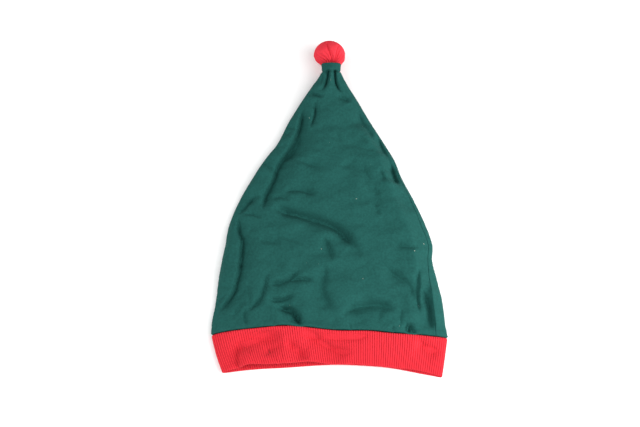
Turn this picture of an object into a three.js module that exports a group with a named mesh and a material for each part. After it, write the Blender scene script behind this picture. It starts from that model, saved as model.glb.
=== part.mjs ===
// Baby's elf hat lying on a table: a pointed crown of two jersey panels, a ribbed cuff folded
// double round the mouth, and a small stuffed ball gathered into the hem at the tip.
// Millimetres. X runs across the mouth, Y from the mouth to the tip and Z up from the table.
import * as THREE from 'three';

// Driving dimensions: cloth thicknesses and the clearance kept between sewn pieces
const JERSEY = 1.2;
const HEM = 2.2;
const RIB_KNIT = 2.2;
const SEAM_GAP = 0.35;

// Places along the hat: cuff seam, start of the gathers, full pleats, hem and open end of the neck
const CROWN_START = -105.8;
const NECK_START = 84;
const PLEATS_FULL = 102;
const HEM_START = 107;
const CROWN_END = 113.3;

// The neck, and the ball whose stem it holds
const NECK_HEIGHT = 12.6;
const NECK_MIDDLE = 2.55;
const NECK_PLEATS = 9;
const PLEAT_DEPTH = 1.4;
const BALL_RADIUS = 12.6;
const BALL_PLACE = 123.35;
const BALL_LEAN = -1.35;
const BALL_LENGTH_UP = 11.5;
const BALL_LENGTH_DOWN = 10.8;
const BALL_PLEATS = 14;
const GATHER_DEPTH = 0.55;
const STEM_RADIUS = 4.6;
const STEM_LENGTH = 6.5;

// The ribs of the cuff
const RIBS = 206;
const RIB_DEPTH = 0.3;

// How square the puffed top and the bowed seam lines are: 2 is an ellipse, more is fuller
const TOP_FULLNESS = 2.4;
const ARCH_FULLNESS = 2.3;
const ARCH_FADE = 70;

// How closely the solids follow the cloth
const CROWN_STATIONS = 27;
const NECK_STATIONS = 8;
const FOLD_COLUMNS = 3;
const EDGE_CROWDING = 0.7;
const BALL_ROWS = 11;

// The two panels of the crown, each wrapped round the fold that lies at its turn
const panels = [
  { name: 'crown_front', fold: 0, columns: 36, ease: 1 },
  { name: 'crown_back', fold: 1, columns: 12, ease: 1.8 },
];

// Crown sections from the cuff seam to the tip. Left and right are the folded edges, top is the
// height of the puffed upper layer, edge the height of the folds, lift the clearance under the
// lower layer, round how far the section has become a circle, and seam the place of the side
// seam as a share of the half width.
const crownSections = [
  { y: CROWN_START, left: -86.6, right: 87.6, top: 13.0, edge: 3.8, lift: 0, round: 0, seam: 0.89 },
  { y: -97, left: -86.4, right: 86.2, top: 13.8, edge: 3.8, lift: 0, round: 0, seam: 0.9 },
  { y: -80, left: -84.1, right: 84.7, top: 15.0, edge: 4.0, lift: 0, round: 0, seam: 0.9 },
  { y: -62, left: -82.7, right: 81.4, top: 15.2, edge: 4.0, lift: 0, round: 0, seam: 0.92 },
  { y: -48, left: -80.8, right: 78.6, top: 15.0, edge: 4.0, lift: 0, round: 0, seam: 0.95 },
  { y: -36, left: -78.8, right: 79.3, top: 14.8, edge: 4.0, lift: 0, round: 0, seam: 0.95 },
  { y: -20, left: -76.5, right: 74.8, top: 14.6, edge: 4.0, lift: 0, round: 0, seam: 0.94 },
  { y: 0, left: -69.3, right: 66.7, top: 14.2, edge: 4.0, lift: 0, round: 0, seam: 0.95 },
  { y: 20, left: -59.0, right: 57.3, top: 13.8, edge: 4.0, lift: 0, round: 0, seam: 0.96 },
  { y: 34, left: -50.8, right: 52.5, top: 13.4, edge: 4.0, lift: 0, round: 0, seam: 0.97 },
  { y: 48, left: -40.7, right: 45.0, top: 13.0, edge: 4.0, lift: 0, round: 0, seam: 0.98 },
  { y: 68, left: -31.3, right: 33.4, top: 12.8, edge: 4.3, lift: 0, round: 0, seam: 0.98 },
  { y: 90, left: -18.1, right: 21.0, top: 14.6, edge: 6.2, lift: 0.6, round: 0.3, seam: 0.98 },
  { y: 97, left: -12.6, right: 16.0, top: 16.8, edge: 9.0, lift: 2.1, round: 0.8, seam: 0.98 },
  { y: 102, left: -7.8, right: 12.4, top: 19.0, edge: 11.4, lift: 4.0, round: 1, seam: 0.98 },
  { y: 107, left: -5.3, right: 10.3, top: 20.3, edge: NECK_HEIGHT, lift: 4.9, round: 1, seam: 0.98 },
  { y: CROWN_END, left: -5.6, right: 10.7, top: 20.7, edge: NECK_HEIGHT, lift: 4.5, round: 1, seam: 0.98 },
];

// Main folds in the upper layer, each a curve on the plan that dips by its depth.
const folds = [
  { name: 'upper left valley', from: [-19, 71], bend: [-30, 42], to: [-49, -10], depth: 2.2, width: 6 },
  { name: 'lower left valley', from: [-60, -4], bend: [-66, -42], to: [-74, -88], depth: 2.6, width: 6 },
  { name: 'middle fold', from: [-35, -11], bend: [-8, -11], to: [12, -32], depth: 1.6, width: 7 },
  { name: 'fold at the cuff', from: [-33, -82], bend: [-17, -84], to: [-19, -99], depth: 1.5, width: 6 },
  { name: 'hollow at the cuff', from: [19, -86], bend: [30, -81], to: [41, -86], depth: 1.2, width: 8 },
  { name: 'left corner fold', from: [-83, -87], bend: [-76, -80], to: [-66, -73], depth: 1.4, width: 6 },
  { name: 'right crease', from: [66, -58], bend: [68, -70], to: [65, -84], depth: 1.4, width: 6 },
  { name: 'right edge hollow', from: [40, 46], bend: [46, 28], to: [53, 8], depth: 1.6, width: 6 },
];

// The cuff from the rim to the crown seam. The arches are how far the line across the upper and
// the lower layer bows towards the tip, and the leans how far each bow is pushed to the left.
const cuffSections = [
  {
    y: -132.9, left: -77.6, right: 82.0, top: 10.8, edge: 3.9, tilt: -1.5,
    archUp: 6.6, leanUp: 0.25, archDown: 8.4, leanDown: -0.2,
  },
  {
    y: -120, left: -82.4, right: 84.6, top: 11.9, edge: 3.9, tilt: -1.3,
    archUp: 5.4, leanUp: 0.6, archDown: 6.4, leanDown: -0.1,
  },
  {
    y: CROWN_START - SEAM_GAP, left: -86.2, right: 87.0, top: 12.6, edge: 3.9, tilt: -1.1,
    archUp: 4.0, leanUp: 1, archDown: 4.5, leanDown: 0,
  },
];
const [RIM_LINE, MIDDLE_LINE, SEAM_LINE] = cuffSections;

const jerseyGreen = new THREE.MeshStandardMaterial({ color: 0x28605a, roughness: 0.95, metalness: 0 });
const ribRed = new THREE.MeshStandardMaterial({ color: 0xed3340, roughness: 0.9, metalness: 0 });
const ballRed = new THREE.MeshStandardMaterial({ color: 0xe43843, roughness: 0.9, metalness: 0 });

const { lerp, smoothstep } = THREE.MathUtils;

// Gives a smooth section at any place along a table whose columns are all numbers.
function loft(rows) {
  const columns = Object.keys(rows[0]);
  const places = rows.map((row) => row.y);
  const values = rows.flatMap((row) => columns.map((column) => row[column]));
  const curve = new THREE.CubicInterpolant(places, values, columns.length);
  return (y) => Object.fromEntries([...curve.evaluate(y)].map((value, i) => [columns[i], value]));
}

// A turn of 0 is the left fold, 0 to 1 runs over the upper layer to the right fold, and 1 to 2
// runs back underneath. The result is the place across, from -1 to 1.
function acrossAt(turn) {
  const upper = turn <= 1;
  const walk = upper ? turn : turn - 1;
  const across = lerp(2 * walk - 1, -Math.cos(Math.PI * walk), EDGE_CROWDING);
  return { upper, across: upper ? across : -across };
}

// Finds the turn on the upper layer where the place across has a given value.
function turnAt(across) {
  let low = 0;
  let high = 1;
  for (let step = 0; step < 30; step += 1) {
    const middle = (low + high) / 2;
    if (acrossAt(middle).across < across) low = middle;
    else high = middle;
  }
  return low;
}

// One point of a flattened ring of cloth: a puffed top, a flat underside with rolled edges.
function ringPoint(section, turn) {
  const { upper, across } = acrossAt((turn + 2) % 2);
  const half = (section.right - section.left) / 2;
  const middle = (section.right + section.left) / 2;
  const round = THREE.MathUtils.clamp(section.round ?? 0, 0, 1);
  const lift = Math.max(section.lift ?? 0, 0);
  const reach = Math.min(Math.abs(across), 1);
  let z;
  if (upper) {
    const power = lerp(TOP_FULLNESS, 2, round);
    z = section.edge + (section.top - section.edge) * (1 - reach ** power) ** (1 / power);
  } else {
    const roll = section.edge - lift;
    const inset = Math.min(half * (1 - reach) / roll, 1);
    const rolled = Math.sqrt(1 - (1 - inset) ** 2);
    const circle = Math.sqrt(1 - reach ** 2);
    z = section.edge - roll * lerp(rolled, circle, round);
  }
  return { x: middle + half * across, z, across, upper, middle };
}

// How far the line across a layer bows towards the tip.
function bow(line, across, upper) {
  const arch = upper ? line.archUp : line.archDown;
  const lean = upper ? line.leanUp : line.leanDown;
  return line.tilt * across + arch * (1 - Math.abs(across) ** ARCH_FULLNESS) * (1 - lean * across);
}

const foldCurves = folds.map((fold) => {
  const [from, bend, to] = [fold.from, fold.bend, fold.to].map(([x, y]) => new THREE.Vector2(x, y));
  return { ...fold, points: new THREE.QuadraticBezierCurve(from, bend, to).getPoints(12) };
});

function distanceToCurve(points, place) {
  let nearest = Infinity;
  for (let i = 0; i + 1 < points.length; i += 1) {
    const along = points[i + 1].clone().sub(points[i]);
    const share = place.clone().sub(points[i]).dot(along) / along.lengthSq();
    const foot = points[i].clone().addScaledVector(along, THREE.MathUtils.clamp(share, 0, 1));
    nearest = Math.min(nearest, foot.distanceTo(place));
  }
  return nearest;
}

function foldDip(x, y) {
  const place = new THREE.Vector2(x, y);
  let dip = 0;
  for (const fold of foldCurves) {
    dip += fold.depth * Math.exp(-((distanceToCurve(fold.points, place) / fold.width) ** 2));
  }
  return dip;
}

const crownAt = loft(crownSections);

// The outer face of the crown with its folds.
function crownPoint(y, turn) {
  const section = crownAt(y);
  const { x, z, across, upper } = ringPoint(section, turn);
  const fade = 1 - smoothstep(y, CROWN_START, CROWN_START + ARCH_FADE);
  const along = y + bow(SEAM_LINE, across, upper) * fade;
  const dip = upper ? foldDip(x, along) * (1 - across ** 6) : 0;
  return new THREE.Vector3(x, along, z - dip);
}

// How far the cloth stands in or out where it is drawn together in pleats at the neck.
function neckPleat(y, turn) {
  const section = crownAt(y);
  const { x, z, middle } = ringPoint(section, turn);
  const angle = Math.atan2(z - section.edge, x - middle);
  const gathered = smoothstep(y, NECK_START, PLEATS_FULL) * (1 - smoothstep(y, PLEATS_FULL, HEM_START + 2));
  const wave = (Math.cos(NECK_PLEATS * (angle - Math.PI / 2)) - 1) / 2;
  const depth = PLEAT_DEPTH * gathered * wave;
  return new THREE.Vector3(depth * Math.cos(angle), 0, depth * Math.sin(angle));
}

// The point at a depth below a surface, found from the slopes around and along it. It stays at
// the same place along the hat, so that cut edges are square.
function below(surface, y, turn, depth) {
  const step = 0.004;
  const around = surface(y, turn + step).sub(surface(y, turn - step));
  const along = surface(y + step, turn).sub(surface(y - step, turn));
  const outward = around.cross(along).normalize();
  outward.y = 0;
  return surface(y, turn).addScaledVector(outward, -depth / outward.lengthSq());
}

function meshFrom(name, vertices, faces, material) {
  const numbers = vertices.flatMap((vertex) => vertex.toArray());
  const geometry = new THREE.BufferGeometry();
  geometry.setAttribute('position', new THREE.Float32BufferAttribute(numbers, 3));
  geometry.setIndex(faces.flat());
  geometry.computeVertexNormals();
  const mesh = new THREE.Mesh(geometry, material);
  mesh.name = name;
  return mesh;
}

// The places of the sections that the solids pass through, closer together at the neck.
function stationAt(j) {
  const body = CROWN_STATIONS - NECK_STATIONS;
  if (j <= body) return lerp(CROWN_START, NECK_START, j / body);
  return lerp(NECK_START, CROWN_END, (j - body) / NECK_STATIONS);
}

// Half the clearance at a side seam, as a share of a turn.
function halfGap(y, turn) {
  const step = 0.01;
  const length = crownPoint(y, turn + step).distanceTo(crownPoint(y, turn - step));
  return SEAM_GAP / 2 * (2 * step) / length;
}

// The turn of a panel's column: a few run from the seam to the fold, and the rest go on across.
function columnTurn({ fold, columns, ease }, y, i) {
  const end = fold + turnAt(crownAt(y).seam);
  const start = end - 1;
  if (i <= FOLD_COLUMNS) return lerp(start + halfGap(y, start), fold, i / FOLD_COLUMNS);
  return lerp(fold, end - halfGap(y, end), ((i - FOLD_COLUMNS) / columns) ** ease);
}

// A crown panel: an outer and an inner face joined along the seams, the cuff edge and the neck.
function crownPanel(panel) {
  const columns = FOLD_COLUMNS + panel.columns;
  const vertices = [];
  for (const inside of [false, true]) {
    for (let i = 0; i <= columns; i += 1) {
      for (let j = 0; j <= CROWN_STATIONS; j += 1) {
        const y = stationAt(j);
        const turn = columnTurn(panel, y, i);
        const wall = lerp(JERSEY, HEM, smoothstep(y, PLEATS_FULL, HEM_START));
        vertices.push(below(crownPoint, y, turn, inside ? wall : 0).add(neckPleat(y, turn)));
      }
    }
  }
  const rows = CROWN_STATIONS + 1;
  const outer = (i, j) => i * rows + j;
  const inner = (i, j) => (columns + 1) * rows + i * rows + j;
  const faces = [];
  const quad = (a, b, c, d) => faces.push([a, b, c], [a, c, d]);
  for (let i = 0; i < columns; i += 1) {
    for (let j = 0; j < CROWN_STATIONS; j += 1) {
      quad(outer(i, j), outer(i + 1, j), outer(i + 1, j + 1), outer(i, j + 1));
      quad(inner(i, j), inner(i, j + 1), inner(i + 1, j + 1), inner(i + 1, j));
    }
    quad(inner(i, 0), inner(i + 1, 0), outer(i + 1, 0), outer(i, 0));
    const tip = CROWN_STATIONS;
    quad(inner(i, tip), outer(i, tip), outer(i + 1, tip), inner(i + 1, tip));
  }
  for (let j = 0; j < CROWN_STATIONS; j += 1) {
    quad(inner(0, j), outer(0, j), outer(0, j + 1), inner(0, j + 1));
    quad(inner(columns, j), inner(columns, j + 1), outer(columns, j + 1), outer(columns, j));
  }
  return meshFrom(panel.name, vertices, faces, jerseyGreen);
}

const cuffAt = loft(cuffSections);

function cuffPoint(y, turn) {
  const section = cuffAt(y);
  const { x, z, across, upper } = ringPoint(section, turn);
  return new THREE.Vector3(x, y + bow(section, across, upper), z);
}

// Turns that divide the ring at y into equal lengths of cloth, so that the ribs keep their pitch.
function evenTurns(y, count) {
  const samples = 1200;
  const lengths = [0];
  for (let i = 1; i <= samples; i += 1) {
    const step = cuffPoint(y, 2 * i / samples).distanceTo(cuffPoint(y, 2 * (i - 1) / samples));
    lengths.push(lengths[i - 1] + step);
  }
  const turns = [];
  let i = 1;
  for (let k = 0; k < count; k += 1) {
    const target = lengths[samples] * k / count;
    while (lengths[i] < target) i += 1;
    turns.push(2 * (i - (lengths[i] - target) / (lengths[i] - lengths[i - 1])) / samples);
  }
  return turns;
}

// The cuff is one closed wall: ribs outside, a folded rim at the mouth and a plain inside.
function makeCuff() {
  const rows = [
    { y: SEAM_LINE.y, depth: 0, past: 0, ribbed: true },
    { y: MIDDLE_LINE.y, depth: 0, past: 0, ribbed: true },
    { y: RIM_LINE.y, depth: 0, past: 0, ribbed: true },
    { y: RIM_LINE.y, depth: RIB_KNIT / 2, past: RIB_KNIT / 2, ribbed: false },
    { y: RIM_LINE.y, depth: RIB_KNIT, past: 0, ribbed: false },
    { y: SEAM_LINE.y, depth: RIB_KNIT, past: 0, ribbed: false },
  ];
  const columns = 2 * RIBS;
  const vertices = [];
  for (const row of rows) {
    evenTurns(row.y, columns).forEach((turn, i) => {
      const groove = row.ribbed && i % 2 === 1 ? RIB_DEPTH : 0;
      const point = below(cuffPoint, row.y, turn, row.depth + groove);
      point.y -= row.past;
      vertices.push(point);
    });
  }
  const faces = [];
  for (let r = 0; r < rows.length; r += 1) {
    const next = (r + 1) % rows.length;
    for (let i = 0; i < columns; i += 1) {
      const beside = (i + 1) % columns;
      const [a, b] = [r * columns + i, next * columns + i];
      const [c, d] = [next * columns + beside, r * columns + beside];
      faces.push([a, b, c], [a, c, d]);
    }
  }
  return meshFrom('cuff', vertices, faces, ribRed);
}

// The ball: a sphere of jersey, a little flatter below, pleated into a stem inside the neck hem.
function makeBall() {
  const stemStart = BALL_PLACE - CROWN_END - SEAM_GAP;
  const stemEnd = stemStart + STEM_LENGTH;
  const rings = [];
  const lowest = Math.PI - Math.acos(stemStart / BALL_LENGTH_DOWN);
  for (let row = 1; row <= BALL_ROWS; row += 1) {
    const angle = lowest * row / BALL_ROWS;
    const along = Math.cos(angle) * (angle < Math.PI / 2 ? BALL_LENGTH_UP : BALL_LENGTH_DOWN);
    rings.push({ along, radius: BALL_RADIUS * Math.sin(angle) });
  }
  rings.push({ along: -stemStart, radius: STEM_RADIUS }, { along: -stemEnd, radius: STEM_RADIUS });
  const columns = 2 * BALL_PLEATS;
  const vertices = [];
  const place = (along, across, up) => {
    const lean = NECK_MIDDLE + BALL_LEAN * smoothstep(along, -stemStart, 0);
    return new THREE.Vector3(lean + across, BALL_PLACE + along, NECK_HEIGHT + up);
  };
  for (const ring of rings) {
    const gathered = smoothstep(-ring.along, 0, BALL_LENGTH_DOWN) * (ring.radius > STEM_RADIUS ? 1 : 0);
    for (let i = 0; i < columns; i += 1) {
      const angle = 2 * Math.PI * i / columns - Math.PI / 2;
      const radius = ring.radius - GATHER_DEPTH * gathered * (i % 2);
      vertices.push(place(ring.along, radius * Math.cos(angle), radius * Math.sin(angle)));
    }
  }
  const crownPole = vertices.push(place(BALL_LENGTH_UP, 0, 0)) - 1;
  const stemPole = vertices.push(place(-stemEnd, 0, 0)) - 1;
  const faces = [];
  const last = (rings.length - 1) * columns;
  for (let i = 0; i < columns; i += 1) {
    const beside = (i + 1) % columns;
    faces.push([crownPole, beside, i], [stemPole, last + i, last + beside]);
    for (let r = 0; r + 1 < rings.length; r += 1) {
      const [a, b] = [r * columns + i, r * columns + beside];
      const [c, d] = [(r + 1) * columns + beside, (r + 1) * columns + i];
      faces.push([a, b, c], [a, c, d]);
    }
  }
  return meshFrom('ball', vertices, faces, ballRed);
}

const hat = new THREE.Group();
hat.add(...panels.map(crownPanel), makeCuff(), makeBall());

export default hat;
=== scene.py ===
import math

import bpy
import numpy as np
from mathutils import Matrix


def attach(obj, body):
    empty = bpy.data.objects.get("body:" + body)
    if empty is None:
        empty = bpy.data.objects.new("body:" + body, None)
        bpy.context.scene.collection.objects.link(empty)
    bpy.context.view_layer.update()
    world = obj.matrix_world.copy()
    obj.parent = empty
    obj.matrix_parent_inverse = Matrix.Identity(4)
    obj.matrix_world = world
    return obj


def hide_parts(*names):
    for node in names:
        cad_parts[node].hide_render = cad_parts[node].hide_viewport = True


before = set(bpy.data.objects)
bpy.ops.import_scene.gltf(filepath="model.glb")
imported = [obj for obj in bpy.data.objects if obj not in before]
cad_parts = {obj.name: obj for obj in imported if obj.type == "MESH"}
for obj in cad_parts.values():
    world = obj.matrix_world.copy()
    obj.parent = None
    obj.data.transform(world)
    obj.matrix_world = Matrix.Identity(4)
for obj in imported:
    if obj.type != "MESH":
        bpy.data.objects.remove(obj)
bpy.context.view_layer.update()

# The table, the light and the camera.
# The hat lies on a plain pale table among four soft studio lights, the strongest on the right, and
# the camera looks down on it from above the mouth. Sizes in this section are in metres.
CAMERA_PLACE = (-0.0065, -0.24407, 0.64735)
CAMERA_TILT = 20
CAMERA_LENS = 50
CAMERA_SENSOR = 36
ROOM_LIGHT = 0.56
TABLE_SIZE = 8
TABLE_WHITE = (0.91, 0.912, 0.912, 1)

camera_data = bpy.data.cameras.new("camera")
camera_data.lens = CAMERA_LENS
camera_data.sensor_width = CAMERA_SENSOR
camera = bpy.data.objects.new("camera", camera_data)
camera.location = CAMERA_PLACE
camera.rotation_euler = (math.radians(CAMERA_TILT), 0, 0)
bpy.context.collection.objects.link(camera)
bpy.context.scene.camera = camera
bpy.context.scene.view_settings.view_transform = "Standard"


def soft_light(name, place, size, power):
    """A square light that faces the hat."""
    data = bpy.data.lights.new(name, "AREA")
    data.size = size
    data.energy = power
    light = bpy.data.objects.new(name, data)
    light.location = place
    light.rotation_euler = (-light.location).to_track_quat("-Z", "Y").to_euler()
    bpy.context.collection.objects.link(light)


soft_light("key_light", (0.42, -0.2, 0.405), 0.76, 4.6)
soft_light("fill_light", (-1.02, -0.1, 0.95), 1.1, 9.0)
soft_light("right_light", (0.45, -0.17, 0.15), 0.36, 1.9)
soft_light("left_light", (-0.48, -0.2, 0.14), 0.4, 0.8)

world = bpy.data.worlds.new("studio")
world.use_nodes = True
world.node_tree.nodes["Background"].inputs["Color"].default_value = (1, 1, 1, 1)
world.node_tree.nodes["Background"].inputs["Strength"].default_value = ROOM_LIGHT
bpy.context.scene.world = world


def fill_inputs(tree, node, inputs):
    """Fills inputs of a shader node, each with a plain value or with a socket to link it to."""
    for name, value in inputs.items():
        if isinstance(value, bpy.types.NodeSocket):
            tree.links.new(value, node.inputs[name])
        else:
            node.inputs[name].default_value = value


def new_material(name):
    """A new material with its node tree and its shader."""
    material = bpy.data.materials.new(name)
    material.use_nodes = True
    return material, material.node_tree, material.node_tree.nodes["Principled BSDF"]


table_finish, table_tree, table_shader = new_material("pale_table")
fill_inputs(table_tree, table_shader,
            {"Base Color": TABLE_WHITE, "Roughness": 0.9, "Specular IOR Level": 0.1})
half = TABLE_SIZE / 2
table_corners = [(-half, -half, 0), (half, -half, 0), (half, half, 0), (-half, half, 0)]
table_mesh = bpy.data.meshes.new("table")
table_mesh.from_pydata(table_corners, [], [(0, 1, 2, 3)])
table_mesh.materials.append(table_finish)
table = bpy.data.objects.new("table", table_mesh)
bpy.context.collection.objects.link(table)

# The crown's front panel.
# It is cut from dark green cotton jersey and sewn to the back panel along both sides. It lies on
# top in loose creases, wraps round the left edge and is gathered into a turned hem at the tip.

# Sizes from here on are in millimetres, and MM turns them into metres.
MM = 0.001
JERSEY = 1.0
HEM = 1.8
CROWN_START = -105.8
NECK_START = 84
PLEATS_FULL = 102
HEM_START = 107
PLEATS_END = HEM_START + 2
CROWN_END = 113.3
NECK_HEIGHT = 12.6
NECK_PLEATS = 11
PLEAT_DEPTH_ABOVE = 0.3
PLEAT_DEPTH_BELOW = 1.2
STITCHING_DEPTH = 1.0
STITCHING_WIDTH = 0.9
STITCHING_TO_HEM = 0.7
SIDE_GAP = 0.08
SIDE_ROLL = 0.45
CUFF_ROLL = 1.5
HEM_ROLL = 1.0
HEM_LEAN = 0.32
HEM_REACH = 2.3
LEAN_SPAN = (NECK_START + 8, HEM_START - 2)
TOP_FULLNESS = 2.4
ARCH_FULLNESS = 2.3
ARCH_FADE = 70

# The upper layer sinks softly towards the lower one, from SOFT_FLOOR down to no less than LOWEST.
SOFT_FLOOR = 4.2
LOWEST = 2.8
MOST_RISE = 4

# How the creases taper off at their ends, beside their lines and near the crown's own edges.
CREASE_REACH = 18
CREASE_FADE = 9
CREASE_TAPER = 13
CREASE_END = 1.3
SHORTEST_END = 2
OPENING_SHARE = 0.3
TAPER_SHARE = 0.25
CREASES_BEGIN = (CROWN_START - 1, CROWN_START + 6)
CREASES_CEASE = (HEM_START - 1.5, HEM_START + 0.8)
SEAM_PLEATS_BEGIN = (CROWN_START - 0.2, CROWN_START + 1.6)
FLAT_SIDES = 24

# Faint waves all over the cloth, from the shortest to the longest.
CRUMPLE_SEED = 5
CRUMPLE_SHORTEST = 5
CRUMPLE_LONGEST = 24
CRUMPLE_COUNT = 30
CRUMPLE_SPREAD = 0.6
CRUMPLE_HEIGHT = 0.0065

# How finely the meshes follow the shapes.
LINE_STEP = 4
INSIDE_STEP = 3
EDGE_CROWDING = 0.2
TURN_SAMPLES = 2001
SEAM_PROBE = 0.01
TINY = 1e-9

# Sections of the crown: the place along the hat, the two sides, the height of the top and of the
# sides, how far the underside is lifted, how round the section is and where the side seams lie.
crown_columns = ("along", "left", "right", "top", "edge", "lift", "round", "seam")
crown_rows = [
    (CROWN_START, -86.6, 87.6, 13.0, 3.2, 0, 0, 0.89),
    (-97, -86.4, 86.2, 13.8, 2.7, 0, 0, 0.9),
    (-80, -84.1, 84.7, 15.0, 2.3, 0, 0, 0.9),
    (-62, -82.7, 81.4, 15.2, 2.2, 0, 0, 0.92),
    (-48, -80.8, 78.6, 15.0, 2.2, 0, 0, 0.95),
    (-36, -78.8, 79.3, 14.8, 2.2, 0, 0, 0.95),
    (-20, -76.5, 74.8, 14.6, 2.2, 0, 0, 0.94),
    (0, -69.3, 66.7, 14.2, 2.2, 0, 0, 0.95),
    (20, -59.0, 57.3, 13.8, 2.2, 0, 0, 0.96),
    (34, -50.8, 52.5, 13.4, 2.2, 0, 0, 0.97),
    (48, -40.7, 45.0, 13.0, 2.3, 0, 0, 0.98),
    (68, -31.3, 33.4, 12.8, 3.0, 0, 0, 0.98),
    (90, -18.1, 21.0, 14.6, 6.0, 0.6, 0.3, 0.98),
    (97, -12.6, 16.0, 16.8, 9.0, 2.1, 0.8, 0.98),
    (102, -7.8, 12.4, 19.0, 11.4, 4.0, 1, 0.98),
    (107, -5.3, 10.3, 20.3, NECK_HEIGHT, 4.9, 1, 0.98),
    (CROWN_END, -5.6, 10.7, 20.7, NECK_HEIGHT, 4.5, 1, 0.98),
]

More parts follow.
